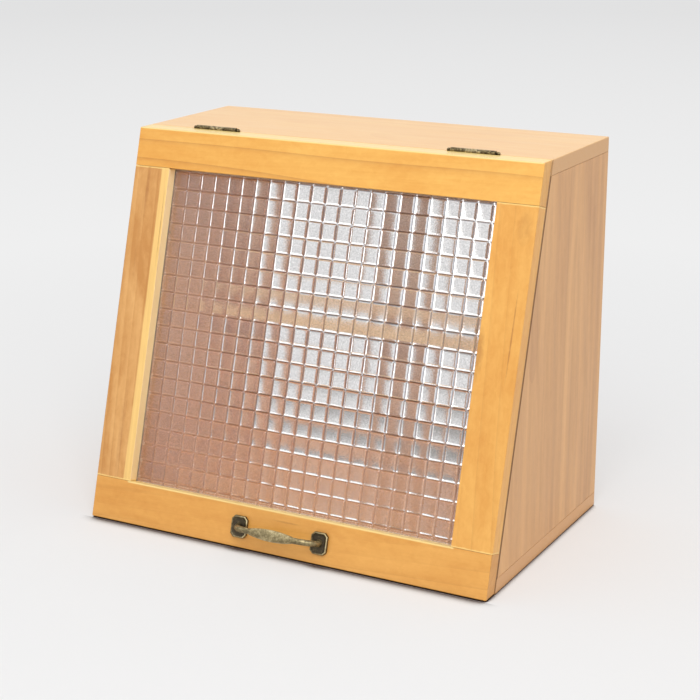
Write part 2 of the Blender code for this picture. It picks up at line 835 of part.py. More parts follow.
top_board = make_carcass()
top_rail, bottom_rail, left_stile, right_stile = make_door_frame()
make_glass_pane()
make_beads((top_rail, bottom_rail, left_stile, right_stile))
make_hinges(top_board, top_rail)
make_handle(bottom_rail)
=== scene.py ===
import json
import math

import bmesh
import bpy
from mathutils import Euler, Matrix, Vector, geometry, noise

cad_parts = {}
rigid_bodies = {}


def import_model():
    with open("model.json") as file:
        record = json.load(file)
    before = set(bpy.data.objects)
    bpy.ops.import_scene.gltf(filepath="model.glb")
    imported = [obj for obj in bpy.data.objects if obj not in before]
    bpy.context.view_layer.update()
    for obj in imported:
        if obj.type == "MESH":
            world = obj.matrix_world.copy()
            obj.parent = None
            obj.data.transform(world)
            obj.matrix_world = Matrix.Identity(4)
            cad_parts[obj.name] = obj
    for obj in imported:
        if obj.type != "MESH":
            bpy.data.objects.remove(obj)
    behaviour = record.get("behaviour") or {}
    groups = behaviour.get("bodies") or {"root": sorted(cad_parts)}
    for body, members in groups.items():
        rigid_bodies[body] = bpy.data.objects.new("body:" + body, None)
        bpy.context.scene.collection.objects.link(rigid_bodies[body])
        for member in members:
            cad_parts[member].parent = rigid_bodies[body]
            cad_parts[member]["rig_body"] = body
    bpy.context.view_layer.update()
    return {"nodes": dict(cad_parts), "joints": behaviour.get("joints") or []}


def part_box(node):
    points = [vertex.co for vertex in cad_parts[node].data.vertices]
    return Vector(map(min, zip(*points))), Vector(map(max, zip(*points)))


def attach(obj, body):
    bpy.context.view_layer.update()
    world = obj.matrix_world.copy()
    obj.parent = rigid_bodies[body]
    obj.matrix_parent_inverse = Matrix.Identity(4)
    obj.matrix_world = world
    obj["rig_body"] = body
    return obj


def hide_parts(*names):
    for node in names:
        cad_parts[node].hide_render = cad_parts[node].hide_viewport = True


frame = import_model()
mm = 0.001

# The door leans back with the case front, and hangs on the hinge line
caseSlope = {"run": 100 * mm, "height": 350 * mm}
lean = math.atan2(caseSlope["run"], caseSlope["height"])
doorPlace = Matrix.Translation(Vector(frame["joints"][0]["pos_m"])) @ Matrix.Rotation(-lean, 4, "X")
# Places in the door: x across from its middle, y front to back, z up the slope from the hinge line
doorOpening = {"half": 162.5 * mm, "top": -40.66 * mm, "bottom": -329.82 * mm}
print("frame loaded:", len(frame["nodes"]), "nodes, lean", round(math.degrees(lean), 2))


# Helpers for nodes

def addNode(tree, kind, settings=None, inputs=None):
    # inputs may hold sockets, which are linked, or plain values
    node = tree.nodes.new(kind)
    for key, value in (settings or {}).items():
        setattr(node, key, value)
    for key, value in (inputs or {}).items():
        if isinstance(value, bpy.types.NodeSocket):
            tree.links.new(value, node.inputs[key])
        else:
            node.inputs[key].default_value = value
    return node


def calculator(tree):
    # Math nodes of one tree, in short
    def calc(operation, first, second=0.5, clamp=False):
        settings = {"operation": operation, "use_clamp": clamp}
        return addNode(tree, "ShaderNodeMath", settings, {0: first, 1: second}).outputs[0]
    return calc


def mixColours(tree, share, first, second, blend="MIX"):
    settings = {"data_type": "RGBA", "blend_type": blend}
    return addNode(tree, "ShaderNodeMix", settings, {0: share, 6: first, 7: second}).outputs[2]


def mapRange(tree, value, low, high, lowTo=0, highTo=1):
    inputs = {"Value": value, "From Min": low, "From Max": high, "To Min": lowTo, "To Max": highTo}
    return addNode(tree, "ShaderNodeMapRange", {}, inputs).outputs[0]


def noiseNode(tree, vector, scale, detail=3.0, rough=0.5, distort=0.0):
    inputs = {"Vector": vector, "Scale": scale, "Detail": detail, "Roughness": rough, "Distortion": distort}
    return addNode(tree, "ShaderNodeTexNoise", {}, inputs).outputs["Fac"]


def placed(tree, vector, location=(0, 0, 0), rotation=(0, 0, 0), scale=(1, 1, 1)):
    inputs = {"Vector": vector, "Location": location, "Rotation": rotation, "Scale": scale}
    return addNode(tree, "ShaderNodeMapping", {}, inputs).outputs[0]


def split(tree, vector):
    return addNode(tree, "ShaderNodeSeparateXYZ", {}, {0: vector}).outputs


def attribute(tree, name):
    return addNode(tree, "ShaderNodeAttribute", {"attribute_name": name}).outputs["Fac"]


def inDoor(tree, coords):
    # Where a point lies in the door
    return split(tree, placed(tree, coords.outputs["Object"], doorPlace.inverted().translation, (lean, 0, 0)))


def bumped(tree, strength, distance, height):
    inputs = {"Strength": strength, "Distance": distance, "Height": height}
    return addNode(tree, "ShaderNodeBump", {}, inputs).outputs[0]


def rgba(colour):
    return (*colour, 1.0)


def newMaterial(name):
    material = bpy.data.materials.new(name)
    material.use_nodes = True
    tree = material.node_tree
    tree.nodes.clear()
    output = addNode(tree, "ShaderNodeOutputMaterial")
    coords = addNode(tree, "ShaderNodeTexCoord")
    return material, tree, output, coords


# Helpers for pieces

def addObject(name, data):
    item = bpy.data.objects.new(name, data)
    bpy.context.scene.collection.objects.link(item)
    return item


def meshOf(shape, name):
    mesh = bpy.data.meshes.new(name)
    shape.to_mesh(mesh)
    shape.free()
    return mesh


def skinRings(shape, rings):
    # Faces from ring to ring, and one over each end
    for ring, following in zip(rings, rings[1:]):
        for side in range(len(ring)):
            other = (side + 1) % len(ring)
            shape.faces.new((ring[side], ring[other], following[other], following[side]))
    for ring in (rings[0], rings[-1]):
        shape.faces.new(ring)


def setFaces(piece, material):
    # A CAD node has one slot; a new piece may have none yet
    if not piece.material_slots:
        piece.data.materials.append(material)
    for slot in piece.material_slots:
        slot.material = material


# Wood: rings round a pith line beside the board, fibres along it, lacquer over it
boardWood = {
    "light": (0.800, 0.400, 0.105),
    "dark": (0.600, 0.255, 0.055),
    "darkStart": 0.12,
    "noiseRange": (0.32, 0.68),
    "pith": (0.0, 0.045, 0.07),
    "tilt": (0, 0.030, 0.021),
    "ringSpacing": 9.0 * mm,
    "ringWave": 5.0,
    "ringStretch": (0.16, 1, 1),
    "ringShare": 0.15,
    "bendScale": 14.0,
    "wander": 5 * mm,
    "linePower": 9.0,
    "lineGaps": (0.40, 0.62, 0.10, 1.0),
    "lineShare": 0.25,
    # Noises: stretch, detail, roughness, distortion
    "fibreFine": ((14, 900, 900), 2.0, 0.6),
    "fibreWide": ((6, 210, 210), 3.0, 0.6),
    "fibreMix": (0.45, 0.55),
    "fibreRange": (0.3, 0.7),
    "fibreShare": 0.20,
    "curl": ((110, 190, 190), 3.0, 0.65, 0.6),
    "curlShare": 0.22,
    "cloud": ((9, 30, 30), 3.0, 0.55, 0.8),
    "cloudShare": 0.60,
    "streak": (0.360, 0.130, 0.030),
    "streakNoise": ((5, 120, 120), 3.0, 0.55, 0.4),
    "streakRange": (0.58, 0.74),
    "streakClouds": (0.45, 0.62, 0.15, 1.0),
    "streakShare": 0.14,
    "marks": (),  # across, up, half width, half height and share of each
    "markFade": (0.1, 1.0, 1, 0),
    "markCurl": (0.3, 0.6, 0.5, 1.0),
    "endGrain": 0.20,
    "endTone": (0.360, 0.130, 0.030),
    "endFacing": (0.80, 0.95),
    "sapwood": None,  # where the band starts, where it is full, and the edge of the opening
    "sapTone": (1.000, 0.670, 0.225),
    "sapShare": 0.9,
    "sapFade": (1.0, 0.65),
    # painted light on the wall of the opening
    "paintedWallLight": (1.000, 0.700, 0.340),
    "edgeSoft": 0.5 * mm,
    "paleEnds": None,  # how far the pale band reaches from the opening's upper and lower edge
    "paleFull": 0.6,
    "paleShare": 0.8,
    "paintedHighlights": (),  # painted highlight bands: lowest and highest place, half length and share of each
    "litTone": (1.000, 0.760, 0.300),
    "litSoft": 0.5 * mm,
    "litFade": 2 * mm,
    "slitShadow": None,  # from front to back, painted shadow of the gap between door and case
    "slitShadowTone": (0.170, 0.078, 0.014),
    "slitSoft": 0.3 * mm,
    "slitShare": 0.95,
    "slitFacing": (0.3, 0.6),
    "slitSides": (195 * mm, 197 * mm),
    "roughness": (0.30, 0.42),
    "relief": (0.8, 0.3),  # fibres up, late lines down
    "bump": 0.12 * mm,
    "bumpStrength": 0.35,
}
grainTurns = {
    "across": (0, 0, 0),
    "upright": (0, math.radians(90), 0),
    "doorUpright": (lean, math.radians(90), 0),
    "doorAcross": (lean, 0, 0),
}
waveRing = 2 * math.pi / 20  # ring spacing of a Wave texture at scale 1


def woodMaterial(name, nodeName, grain, changes):
    look = {**boardWood, **changes}
    material, tree, output, coords = newMaterial(name)
    calc = calculator(tree)
    low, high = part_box(nodeName)
    turn = Euler(grainTurns[grain]).to_matrix()
    boardTurn = Euler(look["tilt"]).to_matrix() @ turn
    shift = Vector(look["pith"]) - boardTurn @ ((low + high) / 2)
    along = placed(tree, coords.outputs["Object"], shift, boardTurn.to_euler())

    def figure(key):
        # Noise drawn out along the grain
        stretch, *settings = look[key]
        return noiseNode(tree, placed(tree, along, scale=stretch), 1.0, *settings)

    def between(value, start, stop, soft, share=1.0):
        return calc("MULTIPLY", mapRange(tree, value, start - soft, start, 0, share),
                    mapRange(tree, value, stop, stop + soft, 1, 0))

    # Growth rings, bent slowly along the grain, each with a thin late line
    stretched = placed(tree, along, scale=look["ringStretch"])
    bend = noiseNode(tree, stretched, look["bendScale"], 2.0)
    rings = addNode(tree, "ShaderNodeTexWave",
                    {"wave_type": "RINGS", "rings_direction": "X", "wave_profile": "SAW"},
                    {"Vector": stretched, "Scale": waveRing / look["ringSpacing"],
                     "Distortion": look["ringWave"], "Detail": 2.0, "Detail Scale": 0.22,
                     "Detail Roughness": 0.6}).outputs["Fac"]
    lateLine = calc("MULTIPLY", calc("POWER", rings, look["linePower"]),
                    mapRange(tree, bend, *look["lineGaps"]))

    # Fibres, curl across them, and slow clouds of colour
    fineShare, wideShare = look["fibreMix"]
    fibre = calc("ADD", calc("MULTIPLY", figure("fibreFine"), fineShare),
                 calc("MULTIPLY", figure("fibreWide"), wideShare))
    curl = figure("curl")
    cloud = figure("cloud")
    mixShare = calc("MULTIPLY", rings, look["ringShare"])
    for value, share in ((fibre, "fibreShare"), (curl, "curlShare"), (cloud, "cloudShare")):
        spread = mapRange(tree, value, *look["noiseRange"])
        mixShare = calc("ADD", mixShare, calc("MULTIPLY", spread, look[share]))
    mixShare = calc("SUBTRACT", mixShare, look["darkStart"], True)
    colour = mixColours(tree, mixShare, rgba(look["light"]), rgba(look["dark"]))

    # What belongs to one spot of a board is placed in the plane of the door
    spot = inDoor(tree, coords)
    wandered = calc("ADD", spot["X"], calc("MULTIPLY", calc("SUBTRACT", bend, 0.5), look["wander"]))
    if look["sapwood"]:
        # A pale band of sapwood up to the inner edge, and painted light on the wall beyond it
        start, full, stop = look["sapwood"]
        band = calc("MULTIPLY", mapRange(tree, wandered, start, full, 0, look["sapShare"]),
                    mapRange(tree, fibre, *look["fibreRange"], *look["sapFade"]))
        colour = mixColours(tree, band, colour, rgba(look["sapTone"]))
        wall = mapRange(tree, spot["X"], stop - look["edgeSoft"], stop)
        colour = mixColours(tree, wall, colour, rgba(look["paintedWallLight"]))

    if look["paleEnds"]:
        # The two ends of a stile are paler, in a ragged band along the opening's upper and lower edge
        reach = look["paleEnds"]
        full = reach * look["paleFull"]
        upper, lower = doorOpening["top"], doorOpening["bottom"]
        ragged = calc("ADD", spot["Z"], calc("MULTIPLY", calc("SUBTRACT", curl, 0.5), reach))
        pale = calc("ADD", mapRange(tree, ragged, upper - reach, upper - full, 0, look["paleShare"]),
                    mapRange(tree, ragged, lower + reach, lower + full, 0, look["paleShare"]), True)
        colour = mixColours(tree, pale, colour, rgba(look["sapTone"]))

    if look["slitShadow"]:
        # Painted shadow of the gap between door and case, along the sides
        shade = between(spot["Y"], *look["slitShadow"], look["slitSoft"], look["slitShare"])
        facing = split(tree, coords.outputs["Normal"])
        for value, limits in ((facing["X"], look["slitFacing"]), (spot["X"], look["slitSides"])):
            shade = calc("MULTIPLY", shade, mapRange(tree, calc("ABSOLUTE", value), *limits))
        colour = mixColours(tree, shade, colour, rgba(look["slitShadowTone"]))

    # Painted highlight on edges that catch the lamp
    for start, stop, reach, share in look["paintedHighlights"]:
        lit = between(spot["Z"], start, stop, look["litSoft"])
        ends = mapRange(tree, calc("ABSOLUTE", spot["X"]), reach - look["litFade"], reach, share, 0)
        colour = mixColours(tree, calc("MULTIPLY", lit, ends), colour, rgba(look["litTone"]))

    # Brown mineral streaks, few and long, and single marks
    streaks = calc("MULTIPLY", mapRange(tree, figure("streakNoise"), *look["streakRange"]),
                   mapRange(tree, cloud, *look["streakClouds"]))
    streaks = calc("ADD", calc("MULTIPLY", streaks, look["streakShare"]),
                   calc("MULTIPLY", lateLine, look["lineShare"]), True)
    for markX, markZ, halfWidth, halfHeight, share in look["marks"]:
        across = calc("DIVIDE", calc("SUBTRACT", wandered, markX), halfWidth)
        up = calc("DIVIDE", calc("SUBTRACT", spot["Z"], markZ), halfHeight)
        away = calc("ADD", calc("MULTIPLY", across, across), calc("MULTIPLY", up, up))
        inside = calc("MULTIPLY", mapRange(tree, away, *look["markFade"]),
                      mapRange(tree, curl, *look["markCurl"]))
        streaks = calc("ADD", streaks, calc("MULTIPLY", inside, share), True)
    colour = mixColours(tree, streaks, colour, rgba(look["streak"]))

    # Cut ends drink more lacquer and come out darker
    normal = placed(tree, coords.outputs["Normal"], rotation=turn.to_euler())
    endOn = calc("ABSOLUTE", split(tree, normal)["X"])
    ends = mapRange(tree, endOn, *look["endFacing"], 0, look["endGrain"])
    colour = mixColours(tree, ends, colour, rgba(look["endTone"]))

    fibreUp, lineDown = look["relief"]
    height = calc("SUBTRACT", calc("MULTIPLY", fibre, fibreUp), calc("MULTIPLY", lateLine, lineDown))
    shader = addNode(tree, "ShaderNodeBsdfPrincipled", {},
                     {"Base Color": colour,
                      "Roughness": mapRange(tree, fibre, *look["fibreRange"], *look["roughness"]),
                      "Normal": bumped(tree, look["bumpStrength"], look["bump"], height)})
    tree.links.new(shader.outputs[0], output.inputs["Surface"])
    return material


rounding = {
    "segments": 2,
    "sharp": math.radians(30),
    "flat": math.radians(1),  # metal faces that differ less are joined
    "merge": 0.002 * mm,
    "runsAlong": 0.9,
}


def meetsNeighbour(nodeName, item):
    # Edges that end against the next board stay square
    first, second = (corner.co for corner in item.verts)
    run = (second - first).normalized()
    if "stile" in nodeName:
        return abs(run.x) > rounding["runsAlong"]
    if "board" not in nodeName or abs(run.y) < rounding["runsAlong"]:
        return False
    low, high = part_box(nodeName)
    above = first.z > (low.z + high.z) / 2
    return nodeName.startswith("side") or above == (nodeName == "bottom_board")


def softened(nodeName, edge, shortest=0.0, metal=False):
    # A copy of a CAD node, its doubles merged and its outer edges rounded
    source = frame["nodes"][nodeName]
    shape = bmesh.new()
    shape.from_mesh(source.data)
    bmesh.ops.remove_doubles(shape, verts=shape.verts, dist=rounding["merge"])
    if metal:
        bmesh.ops.dissolve_limit(shape, angle_limit=rounding["flat"], verts=shape.verts, edges=shape.edges)
    weight = shape.edges.layers.float.new("bevel_weight_edge")
    for item in shape.faces:
        item.smooth = metal
    for item in shape.edges:
        turn = item.calc_face_angle_signed(0.0)
        item.smooth = abs(turn) < rounding["sharp"]
        outer = turn > rounding["sharp"] and item.calc_length() > shortest
        item[weight] = 1.0 if outer and not meetsNeighbour(nodeName, item) else 0.0
    piece = addObject(nodeName + "_finished", meshOf(shape, nodeName + "_finished"))
    bevel = piece.modifiers.new("rounding", "BEVEL")
    bevel.width = edge
    bevel.segments = rounding["segments"]
    bevel.limit_method = "WEIGHT"
    bevel.harden_normals = metal
    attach(piece, source["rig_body"])
    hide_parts(nodeName)
    return piece


# One plank each, so no two boards share their figure
# Painted shadow along the case's front edge, beside the door
caseSlitShadow = (0, 1.5 * mm)
doorTone = {"light": (0.930, 0.510, 0.115), "dark": (0.800, 0.360, 0.060), "slitShadow": (-1.8 * mm, 0)}
sideTone = {"light": (0.800, 0.435, 0.165), "dark": (0.560, 0.275, 0.105), "slitShadow": caseSlitShadow,
            "ringSpacing": 14 * mm, "ringShare": 0.12, "lineShare": 0.08, "streakShare": 0.04,
            "curlShare": 0.15, "cloudShare": 0.80, "cloud": ((2.5, 34, 34), 3.0, 0.55, 0.8)}
innerTone = {"light": (0.920, 0.640, 0.400), "dark": (0.800, 0.510, 0.300), "endGrain": 0.1,
             "lineShare": 0.12}
planks = {  # direction of the grain, place of the pith line, tone and what else differs
    "top_board": ("across", (0.31, 0.02, 0.11), {
        "light": (0.930, 0.590, 0.250), "dark": (0.880, 0.510, 0.200), "slitShadow": caseSlitShadow,
        "endGrain": 0.85, "endTone": (0.640, 0.345, 0.140), "lineShare": 0.10, "streakShare": 0.03}),
    "bottom_board": ("across", (0.12, -0.05, -0.09), {
        "light": (0.700, 0.325, 0.085), "dark": (0.600, 0.260, 0.062), "slitShadow": caseSlitShadow,
        "endGrain": 0.85, "endTone": (0.700, 0.375, 0.155), "lineShare": 0.12}),
    "side_board_left": ("upright", (0.4, 0.07, 0.05), {
        **sideTone, "light": (0.785, 0.413, 0.165), "dark": (0.668, 0.318, 0.113)}),
    "side_board_right": ("upright", (0.2, 0.05, 0.09), sideTone),
    "shelf": ("across", (0.7, -0.06, 0.05), {
        **innerTone, "light": (1.000, 0.760, 0.420), "dark": (0.960, 0.660, 0.330)}),
    "back_slat_left": ("upright", (0.1, 0.06, 0.07), innerTone),
    "back_slat_centre": ("upright", (0.9, -0.05, 0.06), {
        **innerTone, "light": (0.690, 0.460, 0.280), "dark": (0.590, 0.370, 0.215)}),
    "back_slat_right": ("upright", (0.5, 0.04, -0.08), innerTone),
    "door_top_rail": ("doorAcross", (0.15, 0.07, 0.030), {
        **doorTone, "lineShare": 0.40, "curlShare": 0.32, "fibreShare": 0.28,
        "paintedHighlights": ((-6.4 * mm, 8 * mm, 200 * mm, 0.9),)}),
    "door_bottom_rail": ("doorAcross", (0.55, 0.06, -0.04), {
        **doorTone, "light": (0.850, 0.430, 0.100), "dark": (0.710, 0.310, 0.055),
        "curlShare": 0.34, "fibreShare": 0.28,
        "paintedHighlights": ((-330.9 * mm, -329 * mm, 166 * mm, 0.85),),
        "marks": ((0.005, -0.338, 0.016, 0.0010, 0.35),)}),
    "door_stile_left": ("doorUpright", (0.35, 0.03, 0.05), {
        **doorTone, "light": (0.860, 0.480, 0.170), "dark": (0.590, 0.260, 0.062),
        "ringShare": 0.25, "cloudShare": 0.85, "streakShare": 0.35, "paleEnds": 1.8 * mm,
        "sapwood": (-171 * mm, -169.98 * mm, -doorOpening["half"]),
        "marks": ((-0.1846, -0.062, 0.0022, 0.030, 0.45), (-0.1648, -0.095, 0.0007, 0.040, 0.5),
                  (-0.1790, -0.290, 0.0030, 0.060, 0.25))}),
    "door_stile_right": ("doorUpright", (0.75, -0.03, 0.028), {
        **doorTone, "light": (0.900, 0.480, 0.115), "dark": (0.740, 0.320, 0.055),
        "ringShare": 0.08, "lineShare": 0.14, "curlShare": 0.35, "streakShare": 0.15,
        "paleEnds": 1.8 * mm,
        "marks": ((0.1635, -0.168, 0.0060, 0.026, 0.45), (0.1915, -0.150, 0.0009, 0.042, 0.6),
                  (0.1900, -0.060, 0.0080, 0.016, 0.22))}),
    "bead_top": ("doorAcross", (0.2, 0.03, 0.05), innerTone),
    "bead_bottom": ("doorAcross", (0.6, 0.03, 0.05), innerTone),
    "bead_left": ("doorUpright", (0.3, 0.03, 0.05), innerTone),
    "bead_right": ("doorUpright", (0.8, 0.03, 0.05), innerTone),
}
shortestEdge = 9 * mm  # shorter ones, at mortises and recesses, stay sharp
boardKinds = {  # the slot of each kind, and how far its edges are rounded
    "top": ("carcass_wood", 0.6 * mm),
    "bottom": ("carcass_wood", 0.6 * mm),
    "side": ("carcass_wood", 0.6 * mm),
    "shelf": ("inner_wood", 0.5 * mm),
    "back": ("inner_wood", 0.5 * mm),
    "door": ("door_wood", 0.45 * mm),
    "bead": ("bead_wood", 0.4 * mm),
}
for nodeName, (grain, pith, changes) in planks.items():
    slotName, edge = boardKinds[nodeName.split("_")[0]]
    board = softened(nodeName, edge, shortestEdge)
    setFaces(board, woodMaterial(nodeName + "_wood", nodeName, grain, {**changes, "pith": pith}))
print("wood finished on", len(planks), "boards")


# Metals
brassLook = {
    "bright": (0.620, 0.500, 0.250),
    "middle": (0.300, 0.235, 0.110),
    "dark": (0.060, 0.045, 0.028),
    "stops": (0.05, 0.5, 0.95),  # of dark, middle and bright
    "patch": 420.0,
    "grain": 4,  # times finer than the patches
    "patchMix": (0.7, 0.3),
    "patchRange": (0.40, 0.60),
    "patchShare": 0.55,
    "wearAndLightStart": 0.3,
    "wearAndLightShare": 0.75,
    "roughness": (0.55, 0.28),
    "bump": 0.10 * mm,
    "bumpStrength": 0.5,
}


def brassMaterial(name, changes, worn=False):
    look = {**brassLook, **changes}
    material, tree, output, coords = newMaterial(name)
    calc = calculator(tree)
    where = coords.outputs["Object"]
    patches = noiseNode(tree, where, look["patch"], 4.0, 0.6)
    grains = noiseNode(tree, where, look["patch"] * look["grain"], 2.0, 0.6)
    patchPart, grainPart = look["patchMix"]
    mottle = calc("ADD", calc("MULTIPLY", patches, patchPart), calc("MULTIPLY", grains, grainPart))
    share = mapRange(tree, mottle, *look["patchRange"])
    if worn:
        # Hands keep the raised places bright; the attribute also carries painted light on one side of the
        # pull's feet
        polishAndLight = calc("SUBTRACT", attribute(tree, "wearAndLight"), look["wearAndLightStart"])
        share = calc("ADD", calc("MULTIPLY", share, look["patchShare"]),
                     calc("MULTIPLY", polishAndLight, look["wearAndLightShare"]), True)
    ramp = addNode(tree, "ShaderNodeValToRGB", {}, {"Fac": share})
    stops = ramp.color_ramp.elements
    low, half, high = look["stops"]
    stops[0].position, stops[0].color = low, rgba(look["dark"])
    stops[1].position, stops[1].color = high, rgba(look["bright"])
    stops.new(half).color = rgba(look["middle"])
    shader = addNode(tree, "ShaderNodeBsdfPrincipled", {},
                     {"Base Color": ramp.outputs[0], "Metallic": 1.0,
                      "Roughness": mapRange(tree, share, 0, 1, *look["roughness"]),
                      "Normal": bumped(tree, look["bumpStrength"], look["bump"], mottle)})
    tree.links.new(shader.outputs[0], output.inputs["Surface"])
    return material


hingeLook = {
    "caseLeaf": {"bright": (0.34, 0.27, 0.13), "middle": (0.14, 0.105, 0.055),
                 "dark": (0.045, 0.034, 0.022), "patch": 500.0},
    "doorLeaf": {"bright": (0.52, 0.43, 0.24), "middle": (0.29, 0.23, 0.13),
                 "dark": (0.09, 0.07, 0.04), "patch": 500.0},
    "edge": 0.18 * mm,
}
caseLeafBrass = brassMaterial("darkHingeBrass", hingeLook["caseLeaf"])
doorLeafBrass = brassMaterial("wornHingeBrass", hingeLook["doorLeaf"])
for hand in ("left", "right"):
    for part, brass in (("case_leaf", caseLeafBrass), ("door_leaf", doorLeafBrass), ("pin", caseLeafBrass)):
        piece = softened(f"hinge_{hand}_{part}", hingeLook["edge"], metal=True)
        setFaces(piece, brass)
print("hinges finished")

# Fasteners keep their CAD shape
beech = {"light": (0.78, 0.52, 0.30), "dark": (0.62, 0.38, 0.20), "ringSpacing": 2 * mm, "streakShare": 0.0}
screwLook = {"patch": 700.0, "bright": (0.60, 0.48, 0.24)}
pinLook = {"patch": 700.0, "bright": (0.72, 0.56, 0.28), "middle": (0.5, 0.38, 0.18)}
steelLook = {"patch": 600.0, "bright": (0.62, 0.61, 0.58), "middle": (0.45, 0.44, 0.42),
             "dark": (0.25, 0.24, 0.23)}
screwBrass = brassMaterial("screwBrass", screwLook)
fasteners = {
    "carcass_dowel": woodMaterial("beechDowel", "carcass_dowel_1", "upright", beech),
    "hinge_case_screw": screwBrass,
    "hinge_door_screw": screwBrass,
    "bead_pin": brassMaterial("beadPinBrass", pinLook),
    "handle_screw": brassMaterial("screwSteel", steelLook),
}
for nodeName, node in frame["nodes"].items():
    for start, material in fasteners.items():
        if nodeName.startswith(start):
            setFaces(node, material)
print("fasteners finished")


# The pane of checker glass: one cell, repeated over the opening by Geometry Nodes
paneLook = {
    "border": 5.2 * mm,  # hidden in the rebate
    "front": -6.6 * mm,
    "back": -3.6 * mm,
    "pitchAcross": 14.45 * mm,
    "pitchUp": 15.75 * mm,
    "drop": -1.6 * mm,
    "groove": 2.2 * mm,
    "depth": 1.45 * mm,
    "fallPower": 1.4,
    "crown": 0.10 * mm,
    "steps": 14,
    "stepPower": 1.25,
    "merge": 0.02 * mm,
    "waver": 0.22 * mm,
    "waverScale": 85.0,
    "seed": 7.0,
    "roughness": (0, 0.06),
    "roughRange": (0.3, 0.7),
    "clear": 0.95,
    "glassIndex": 1.5,
    "shadowTone": (0.97, 0.97, 0.97),
    "flatTone": (0.690, 0.665, 0.642),
    "shoulderTone": (0.84, 0.82, 0.81),
    "toneStops": (0.02, 0.14),
    # Painted shade lines along the grooves
    "sideShadeLine": (0.25, 0.26, 0.29),
    "sideFoot": 0.82,
    "levelShadeLine": (0.15, 0.11, 0.10),
    "levelFoot": 0.45,
    "lineStart": 0.38,
    "lineSlope": 5.0,
    "faintLeft": (-115 * mm, -50 * mm),
    "faintFoot": (-290 * mm, -240 * mm),
    "faintShare": 0.45,
    "backMark": 0.2,
    "leather": 0.11 * mm,
    "leatherNoise": (850.0, 3.0, 0.6, 0.4),
    "leatherRange": (0.35, 0.65),
    "leatherShare": 0.22,
}


def glassMaterial(look):
    material, tree, output, coords = newMaterial("checkerGlass")
    calc = calculator(tree)
    grain = noiseNode(tree, coords.outputs["Object"], *look["leatherNoise"])
    groove = attribute(tree, "groove")
    flat = calc("SUBTRACT", 1.0, groove, True)
    # Leathery flats, clear shoulders and painted shade lines along the grooves, open where they cross
    shoulder = mapRange(tree, groove, *look["toneStops"])
    tint = mixColours(tree, shoulder, rgba(look["flatTone"]), rgba(look["shoulderTone"]))
    # The painted shade lines are faint towards the left and the foot of the pane
    spot = inDoor(tree, coords)
    clearness = calc("MULTIPLY", mapRange(tree, spot["X"], *look["faintLeft"], look["faintShare"], 1.0),
                     mapRange(tree, spot["Z"], *look["faintFoot"], look["faintShare"], 1.0))
    for name in ("sideShadeLine", "levelShadeLine"):
        line = calc("MULTIPLY", attribute(tree, name), clearness)
        tint = mixColours(tree, line, tint, rgba(look[name]))
    speck = mapRange(tree, grain, *look["leatherRange"], 1 - look["leatherShare"], 1 + look["leatherShare"])
    speck = mixColours(tree, flat, rgba((1, 1, 1)), speck)
    tint = mixColours(tree, 1.0, tint, speck, "MULTIPLY")
    glass = addNode(tree, "ShaderNodeBsdfPrincipled", {},
                    {"Base Color": tint, "Transmission Weight": look["clear"], "IOR": look["glassIndex"],
                     "Roughness": mapRange(tree, grain, *look["roughRange"], *look["roughness"]),
                     "Normal": bumped(tree, 1.0, look["leather"], calc("MULTIPLY", grain, flat))})
    # Light passes straight through for shadows
    straight = addNode(tree, "ShaderNodeBsdfTransparent", {}, {"Color": rgba(look["shadowTone"])})
    shadow = addNode(tree, "ShaderNodeLightPath").outputs["Is Shadow Ray"]
    mix = addNode(tree, "ShaderNodeMixShader", {}, {0: shadow, 1: glass.outputs[0], 2: straight.outputs[0]})
    tree.links.new(mix.outputs[0], output.inputs["Surface"])
    return material


checkerInputs = {
    "Float": ("Half Width", "Half Height", "Pitch Across", "Pitch Up", "Start Across", "Start Up", "Groove",
              "Depth", "Fall Power", "Crown", "Step Power", "Line Start", "Line Slope", "Side Foot",
              "Level Foot", "Merge", "Waver", "Waver Scale", "Seed"),
    "Int": ("Columns", "Rows", "Steps"),
    "Material": ("Glass",),
}


